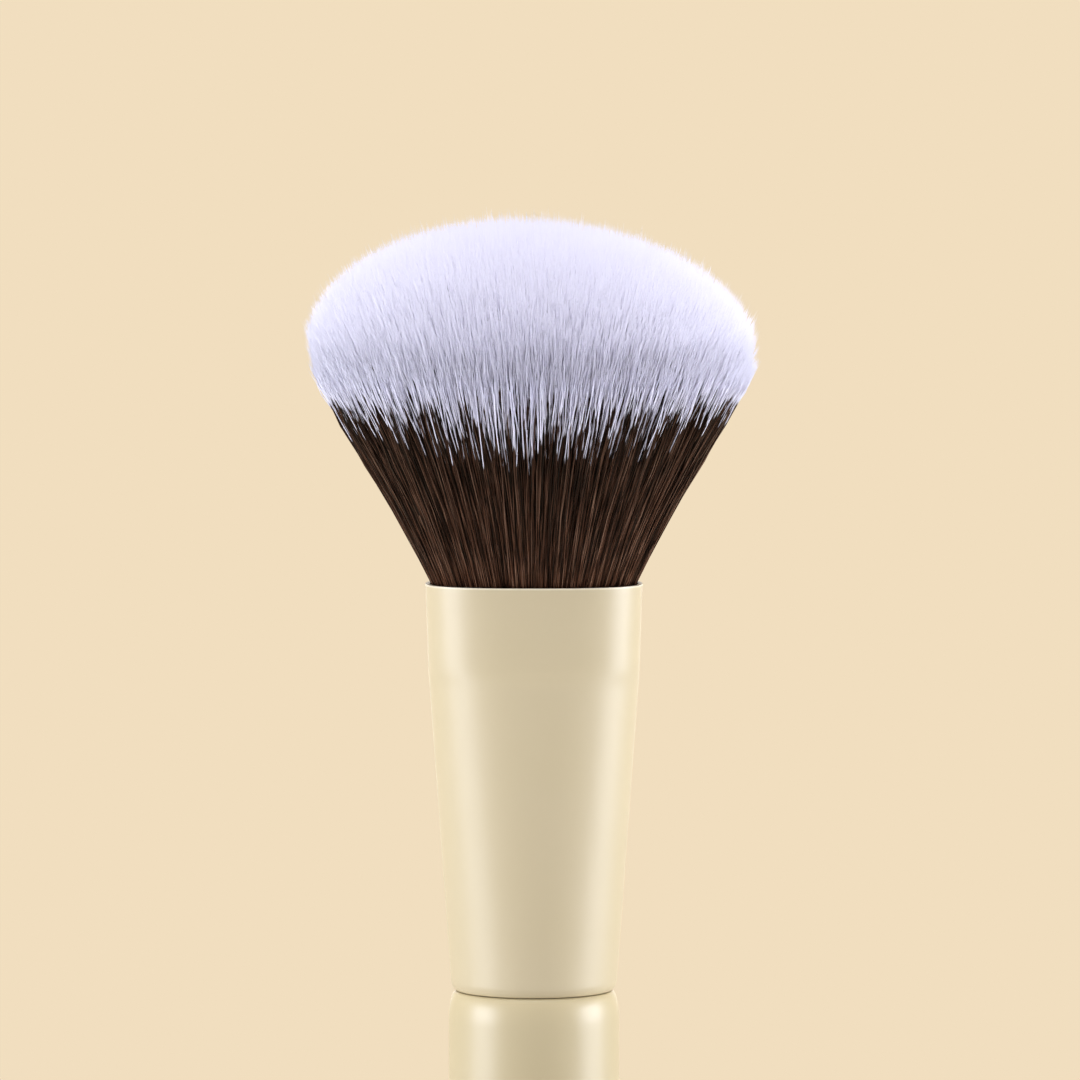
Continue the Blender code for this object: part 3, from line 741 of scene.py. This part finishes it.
    # the lock that the filament belongs to; its middle is kept inside the head
    lock_scale = add(tree, "ShaderNodeMath", 1.0, given["Lock Width"], operation="DIVIDE")[0]
    lock = add(tree, "ShaderNodeTexVoronoi", flat, named={"Scale": lock_scale}, voronoi_dimensions="2D")
    beyond = add(tree, "ShaderNodeVectorMath", lock["Position"], ring, operation="DIVIDE")[0]
    beyond = add(tree, "ShaderNodeVectorMath", beyond, operation="LENGTH")[1]
    beyond = add(tree, "ShaderNodeMath", beyond, 1.0, operation="MAXIMUM")[0]
    kept = add(tree, "ShaderNodeMath", 1.0, beyond, operation="DIVIDE")[0]
    middle = add(tree, "ShaderNodeVectorMath", lock["Position"], named={3: kept}, operation="SCALE")[0]
    pull = add(tree, "ShaderNodeVectorMath", middle, flat, operation="SUBTRACT")[0]
    out = add(tree, "ShaderNodeMath", along, 0.0, operation="MAXIMUM")[0]
    swing = add(tree, "ShaderNodeMath", out, given["Bend Angle"], operation="MULTIPLY")[0]
    swing = add(tree, "ShaderNodeMath", swing, operation="SINE")[0]
    rest = add(tree, "ShaderNodeMath", 1.0, out, operation="SUBTRACT")[0]
    rest = add(tree, "ShaderNodeMath", rest, 0.0, operation="MAXIMUM")[0]
    # locks draw together most at two thirds of the way
    pull_share = add(tree, "ShaderNodeMath", out, out, operation="MULTIPLY")[0]
    pull_share = add(tree, "ShaderNodeMath", pull_share, rest, operation="MULTIPLY")[0]
    pull_share = add(tree, "ShaderNodeMath", pull_share, HUMP_SCALE, operation="MULTIPLY")[0]
    pull_share = add(tree, "ShaderNodeMath", pull_share, given["Lock Pull"], operation="MULTIPLY")[0]
    pull = add(tree, "ShaderNodeVectorMath", pull, named={3: pull_share}, operation="SCALE")[0]
    # each bows to a side of its own, and ripples more towards its tip, coarser than a real crimp so that it shows
    bend = add(tree, "ShaderNodeMath", swing, given["Bend"], operation="MULTIPLY")[0]
    wave = add(tree, "ShaderNodeMath", out, given["Wave Angle"], drawn["phase"], operation="MULTIPLY_ADD")[0]
    wave = add(tree, "ShaderNodeMath", wave, operation="SINE")[0]
    wave = add(tree, "ShaderNodeMath", wave, given["Wave"], operation="MULTIPLY")[0]
    wave = add(tree, "ShaderNodeMath", wave, out, operation="MULTIPLY")[0]
    sways = []
    for draw, size in (("bow", bend), ("ripple", wave)):
        sways.append(add(tree, "ShaderNodeVectorMath", drawn[draw], named={3: size}, operation="SCALE")[0])
    # a few filaments bow well out of the mass and catch the light on their own
    proud = add(tree, "ShaderNodeMath", drawn["proud"], given["Proud Rarity"], operation="POWER")[0]
    proud = add(tree, "ShaderNodeMath", proud, given["Proud"], operation="MULTIPLY")[0]
    proud = add(tree, "ShaderNodeMath", proud, swing, operation="MULTIPLY")[0]
    proud = add(tree, "ShaderNodeVectorMath", way, named={3: proud}, operation="SCALE")[0]

    # the head's flanks draw in a little above the mouth, most at a third of the way
    pinch = add(tree, "ShaderNodeMath", rest, rest, operation="MULTIPLY")[0]
    pinch = add(tree, "ShaderNodeMath", pinch, out, operation="MULTIPLY")[0]
    pinch = add(tree, "ShaderNodeMath", pinch, -HUMP_SCALE, operation="MULTIPLY")[0]
    pinch = add(tree, "ShaderNodeMath", pinch, given["Waist"], operation="MULTIPLY")[0]
    pinch = add(tree, "ShaderNodeVectorMath", flat, named={3: pinch}, operation="SCALE")[0]

    # the middle of the filament at this height, then its skin round it
    middle = add(tree, "ShaderNodeVectorMath", reach, named={3: along}, operation="SCALE")[0]
    base = add(tree, "ShaderNodeCombineXYZ", 0.0, 0.0, given["Mouth Height"])[0]
    for part in (root, pull, *sways, proud, pinch, base):
        middle = add(tree, "ShaderNodeVectorMath", middle, part, operation="ADD")[0]
    spin = add(tree, "FunctionNodeAxisAngleToRotation", (0.0, 0.0, 1.0), drawn["spin"])[0]
    facing = add(tree, "FunctionNodeAlignRotationToVector", spin, 1.0, reach, axis="Z")[0]
    side = add(tree, "FunctionNodeRotateVector", outward, facing)[0]
    radius = (0.0, given["Full Thickness At"], given["Root Thickness Share"], 1.0)
    radius = add(tree, "ShaderNodeMapRange", rise, *radius, interpolation_type="SMOOTHSTEP")[0]
    radius = add(tree, "ShaderNodeMath", radius, given["Thickness"], operation="MULTIPLY")[0]
    radius = add(tree, "ShaderNodeMath", radius, 0.5, operation="MULTIPLY")[0]
    side = add(tree, "ShaderNodeVectorMath", side, named={3: radius}, operation="SCALE")[0]
    skin = add(tree, "ShaderNodeVectorMath", middle, side, operation="ADD")[0]

    # dye map: how far past the dye line, and a column of tint
    sideways = add(tree, "ShaderNodeMath", way_x, way_x, operation="MULTIPLY")[0]
    dyed = add(
        tree, "ShaderNodeMapRange", sideways, 0.0, 1.0, given["Dyed Length Front"], given["Dyed Length Side"]
    )[0]
    # inner filaments take the dye further up, partly a lower dye line inside the knot and partly painted shade that
    # darkens the gaps between the outer white filaments
    inside = (given["Inside Ends At"], given["Outside Starts At"], given["Inner Dyed Length With Painted Shade"], 0.0)
    inside = add(tree, "ShaderNodeMapRange", shares[1], *inside)[0]
    dyed = add(tree, "ShaderNodeMath", dyed, inside, operation="SUBTRACT")[0]
    dyed = add(tree, "ShaderNodeMath", dyed, rim, operation="SUBTRACT")[0]
    lock_dye = add(tree, "FunctionNodeSeparateColor", lock["Color"])[0]
    lock_dye = add(tree, "ShaderNodeMath", lock_dye, 0.5, operation="SUBTRACT")[0]
    dyed = add(tree, "ShaderNodeMath", lock_dye, given["Dye Lock Scatter"], dyed, operation="MULTIPLY_ADD")[0]
    dyed = add(tree, "ShaderNodeMath", lock["Distance"], given["Dye Lock Point"], dyed, operation="MULTIPLY_ADD")[0]
    dyed = add(tree, "ShaderNodeMath", drawn["blot"], given["Dye Scatter"], dyed, operation="MULTIPLY_ADD")[0]
    dyed = add(tree, "ShaderNodeMath", dyed, given["Least Dyed Length"], operation="MAXIMUM")[0]
    from_tip = add(tree, "ShaderNodeMath", 1.0, along, operation="SUBTRACT")[0]
    from_tip = add(tree, "ShaderNodeMath", from_tip, full, operation="MULTIPLY")[0]
    past = add(tree, "ShaderNodeMath", dyed, from_tip, operation="SUBTRACT")[0]
    past = add(tree, "ShaderNodeMath", past, 1 / DYE_MAP_LENGTH, DYE_LINE_AT, operation="MULTIPLY_ADD")[0]
    past = add(tree, "ShaderNodeMath", past, DYE_MAP_MARGIN, operation="MAXIMUM")[0]
    out_x, out_y = add(tree, "ShaderNodeSeparateXYZ", outward)[:2]
    past = add(tree, "ShaderNodeMath", out_x, DYE_MAP_SKEW, past, operation="MULTIPLY_ADD")[0]
    around = add(tree, "ShaderNodeMath", out_y, out_x, operation="ARCTAN2")[0]
    corner = math.tau / FILAMENT_SIDES
    around = add(
        tree, "ShaderNodeMapRange", around, -corner, corner, TINT_COLUMN_MARGIN, 1 - TINT_COLUMN_MARGIN
    )[0]
    column = add(tree, "ShaderNodeMath", drawn["tint"], operation="FLOOR")[0]
    column = add(tree, "ShaderNodeMath", column, around, operation="ADD")[0]
    column = add(tree, "ShaderNodeMath", column, TINT_COLUMNS, operation="DIVIDE")[0]
    dye_map = add(tree, "ShaderNodeCombineXYZ", column, past, 0.0)[0]

    mapped = add(
        tree,
        "GeometryNodeStoreNamedAttribute",
        spikes,
        None,
        "OFBake",
        dye_map,
        data_type="FLOAT2",
        domain="CORNER",
    )[0]
    placed = add(tree, "GeometryNodeSetPosition", mapped, None, skin)[0]
    cleared = add(tree, "GeometryNodeRemoveAttribute", placed, named={"Name": "filament"})[0]
    smooth = add(tree, "GeometryNodeSetShadeSmooth", cleared)[0]
    whole = add(tree, "GeometryNodeRealizeInstances", smooth)[0]
    add(tree, "NodeGroupOutput", add(tree, "GeometryNodeSetMaterial", whole, None, given["Dye"])[0])
    return tree


def make_filaments(dye):
    """The head, in bundles from its core outwards."""
    inputs = {
        **HEAD,
        "First": 0,
        "Count": FILAMENTS_A_BUNDLE,
        "Total": FILAMENTS_A_BUNDLE * BUNDLE_COUNT,
        "Seed": FILAMENT_SEED,
        "Dye": dye,
    }
    tree = filament_tree(inputs)
    bundles = []
    for bundle in range(BUNDLE_COUNT):
        inputs["First"] = bundle * FILAMENTS_A_BUNDLE
        bundles.append(grown(f"filaments_ring_{bundle + 1}", tree, inputs))
    return bundles


def thread_tree(inputs):
    """Plies that twist round one another while they follow an oval winding."""
    tree, given = new_tree("laid_thread", inputs)
    plies = []
    for ply in range(PLY_COUNT):
        line = add(tree, "GeometryNodeMeshLine", given["Steps"])[0]
        step = add(tree, "GeometryNodeInputIndex")[0]
        last = add(tree, "ShaderNodeMath", given["Steps"], 1.0, operation="SUBTRACT")[0]
        share = add(tree, "ShaderNodeMath", step, last, operation="DIVIDE")[0]
        turns = add(tree, "ShaderNodeMath", share, given["Turns"], operation="MULTIPLY")[0]
        climb = add(tree, "ShaderNodeMath", share, 0.5, operation="SUBTRACT")[0]
        climb = add(tree, "ShaderNodeMath", climb, given["Turns"], operation="MULTIPLY")[0]
        climb = add(tree, "ShaderNodeMath", climb, given["Pitch"], operation="MULTIPLY")[0]
        angle = add(tree, "ShaderNodeMath", turns, math.tau, operation="MULTIPLY")[0]
        across, deep = (add(tree, "ShaderNodeMath", angle, operation=side)[0] for side in ("COSINE", "SINE"))
        swell = oval_swell(tree, across, deep, given["Squareness"])
        width = add(
            tree, "ShaderNodeMath", climb, given["Width Growth"], given["Half Width"], operation="MULTIPLY_ADD"
        )[0]
        depth = add(
            tree, "ShaderNodeMath", climb, given["Depth Growth"], given["Half Depth"], operation="MULTIPLY_ADD"
        )[0]

        # the ply's place round the middle of the thread
        twist = add(tree, "ShaderNodeMath", turns, given["Ply Twists a Turn"], operation="MULTIPLY")[0]
        twist = add(tree, "ShaderNodeMath", twist, ply / PLY_COUNT, operation="ADD")[0]
        twist = add(tree, "ShaderNodeMath", twist, math.tau, operation="MULTIPLY")[0]
        outward = add(tree, "ShaderNodeMath", twist, operation="COSINE")[0]
        outward = add(tree, "ShaderNodeMath", outward, given["Ply Offset"], operation="MULTIPLY")[0]
        upward = add(tree, "ShaderNodeMath", twist, operation="SINE")[0]
        upward = add(tree, "ShaderNodeMath", upward, given["Ply Offset"], climb, operation="MULTIPLY_ADD")[0]
        upward = add(tree, "ShaderNodeMath", upward, given["Middle Height"], operation="ADD")[0]
        places = []
        for half, part in ((width, across), (depth, deep)):
            half = add(tree, "ShaderNodeMath", half, swell, outward, operation="MULTIPLY_ADD")[0]
            places.append(add(tree, "ShaderNodeMath", half, part, operation="MULTIPLY")[0])
        place = add(tree, "ShaderNodeCombineXYZ", *places, upward)[0]
        wound = add(tree, "GeometryNodeSetPosition", line, None, place)[0]
        plies.append(add(tree, "GeometryNodeMeshToCurve", wound)[0])
    section = add(tree, "GeometryNodeCurvePrimitiveCircle", PLY_SIDES, named={4: given["Ply Radius"]})[0]
    joined = tree.nodes.new("GeometryNodeJoinGeometry")
    for ply in plies:
        tree.links.new(ply, joined.inputs[0])
    skin = add(tree, "GeometryNodeCurveToMesh", joined.outputs[0], section, named={"Fill Caps": True})[0]
    whole = add(tree, "GeometryNodeRealizeInstances", skin)[0]
    add(tree, "NodeGroupOutput", add(tree, "GeometryNodeSetMaterial", whole, None, given["Cotton"])[0])
    return tree


def make_thread(cotton):
    """The binding thread, laid from its plies."""
    inputs = {**THREAD, "Cotton": cotton}
    thread = grown("binding_thread_plies", thread_tree(inputs), inputs)
    turn_faces_out(thread.data)
    thread.data.shade_smooth()
    return thread


def make_bed(roots):
    """The oval slice of glued roots that the filaments stand in."""
    bed = bmesh.new()
    rings = []
    for height in (MOUTH_HEIGHT - BED_RECESS - BED_THICKNESS, MOUTH_HEIGHT - BED_RECESS):
        ring = []
        for step in range(BED_STEPS):
            across, deep = math.cos(math.tau * step / BED_STEPS), math.sin(math.tau * step / BED_STEPS)
            swell = (abs(across) ** MOUTH_SQUARENESS + abs(deep) ** MOUTH_SQUARENESS) ** (-1 / MOUTH_SQUARENESS)
            ring.append(bed.verts.new((BED_HALF_WIDTH * across * swell, BED_HALF_DEPTH * deep * swell, height)))
        rings.append(ring)
    for step in range(BED_STEPS):
        after = (step + 1) % BED_STEPS
        bed.faces.new((rings[0][step], rings[0][after], rings[1][after], rings[1][step]))
    bed.faces.new(rings[1])
    bed.faces.new(rings[0][::-1])
    mesh = bpy.data.meshes.new("root_bed")
    bed.to_mesh(mesh)
    bed.free()
    mesh.materials.append(roots)
    return new_object("root_bed", mesh)


def seen_directly(tree):
    """1 where the camera, a gloss or clear glass sees a surface, and 0 where it only lights the brush."""
    path = add(tree, "ShaderNodeLightPath")
    seen = add(tree, "ShaderNodeMath", path["Is Camera Ray"], path["Is Glossy Ray"], operation="MAXIMUM")[0]
    return add(tree, "ShaderNodeMath", seen, path["Is Transmission Ray"], operation="MAXIMUM")[0]


def make_studio():
    """Plain pale surroundings, seen in the background's own colour, that light the brush a little bluer."""
    scene = bpy.context.scene
    scene.view_settings.view_transform = "Standard"
    world = bpy.data.worlds.new("studio")
    scene.world = world
    world.use_nodes = True
    tree = world.node_tree
    tree.nodes.clear()
    shown = add(tree, "ShaderNodeBackground", BACKGROUND, 1.0)[0]
    fill = add(tree, "ShaderNodeBackground", FILL, FILL_STRENGTH)[0]
    add(tree, "ShaderNodeOutputWorld", add(tree, "ShaderNodeMixShader", seen_directly(tree), fill, shown)[0])


def make_floor():
    """A sheet of pale paper under the brush. It takes the brush's shadow, and fades to the background's colour. In
    the light that it bounces onto the brush it is painted dark near the brush, a painted shade.
    """
    material, tree = new_material("pale_paper")
    place = add(tree, "ShaderNodeTexCoord")["Object"]
    away = add(tree, "ShaderNodeVectorMath", place, operation="LENGTH")[1]
    far = add(tree, "ShaderNodeMapRange", away, *FLOOR_FADE, 0.0, 1.0, interpolation_type="SMOOTHSTEP")[0]
    seen = seen_directly(tree)
    # light bounced from the paper is painted dark near the brush, a painted shade, and pale further out
    outside = add(tree, "ShaderNodeMapRange", away, *BOUNCE_FADE, 0.0, 1.0, interpolation_type="SMOOTHSTEP")[0]
    bounce = add(
        tree, "ShaderNodeMix", named={0: outside, 6: FLOOR_BOUNCE_PAINTED_SHADE, 7: FLOOR_BOUNCE_FAR}, data_type="RGBA"
    )[2]
    tone = add(tree, "ShaderNodeMix", named={0: seen, 6: bounce, 7: FLOOR_NEAR}, data_type="RGBA")[2]
    paper = add(tree, "ShaderNodeBsdfDiffuse", tone)[0]
    seen = add(tree, "ShaderNodeMath", seen, far, operation="MULTIPLY")[0]
    glow = add(tree, "ShaderNodeEmission", BACKGROUND, 1.0)[0]
    add(tree, "ShaderNodeOutputMaterial", add(tree, "ShaderNodeMixShader", seen, paper, glow)[0])
    sheet = bmesh.new()
    bmesh.ops.create_grid(sheet, x_segments=1, y_segments=1, size=FLOOR_HALF_SIZE)
    mesh = bpy.data.meshes.new("floor")
    sheet.to_mesh(mesh)
    sheet.free()
    mesh.materials.append(material)
    floor = new_object("floor", mesh)


def make_light(name, place, aim, width, height, power, colour):
    """A soft box, hidden from the camera."""
    lamp = bpy.data.lights.new(name, "AREA")
    lamp.shape = "RECTANGLE"
    lamp.size, lamp.size_y = width, height
    lamp.energy = power
    lamp.color = linear(colour)[:3]
    holder = new_object(name, lamp)
    holder.location = place
    holder.rotation_euler = (Vector(aim) - Vector(place)).to_track_quat("-Z", "Y").to_euler()
    holder.visible_camera = False


def make_camera():
    """The photograph's own camera."""
    camera = bpy.data.cameras.new("camera")
    camera.lens = camera.sensor_width * CAMERA_DISTANCE / FRAME_SPAN
    camera.clip_end = CAMERA_REACH
    holder = new_object("camera", camera)
    back = Vector((0.0, -math.cos(CAMERA_PITCH), math.sin(CAMERA_PITCH)))
    holder.location = CAMERA_AIM + back * CAMERA_DISTANCE
    holder.rotation_euler = (-back).to_track_quat("-Z", "Y").to_euler()
    bpy.context.scene.camera = holder


def make_brush():
    """The dressed pieces, each in the place of its solid."""
    lacquer, paint, resin = make_lacquer(), make_paint(), make_resin()
    handle = make_handle(lacquer)
    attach(handle, "root")
    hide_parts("handle")
    ferrule = make_ferrule(paint)
    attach(ferrule, "root")
    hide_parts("ferrule")
    for node in ("tenon_glue", "resin_knot"):
        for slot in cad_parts[node].material_slots:
            slot.material = resin
    thread = make_thread(make_cotton())
    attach(thread, "root")
    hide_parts("binding_thread")
    bed = make_bed(make_root_bed())
    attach(bed, "root")
    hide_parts("bristles")
    for bundle in make_filaments(make_filament_dye()):
        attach(bundle, "root")
        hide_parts("bristles")


make_brush()
make_studio()
make_floor()
for soft_box in SOFT_BOXES:
    make_light(*soft_box)
make_camera()
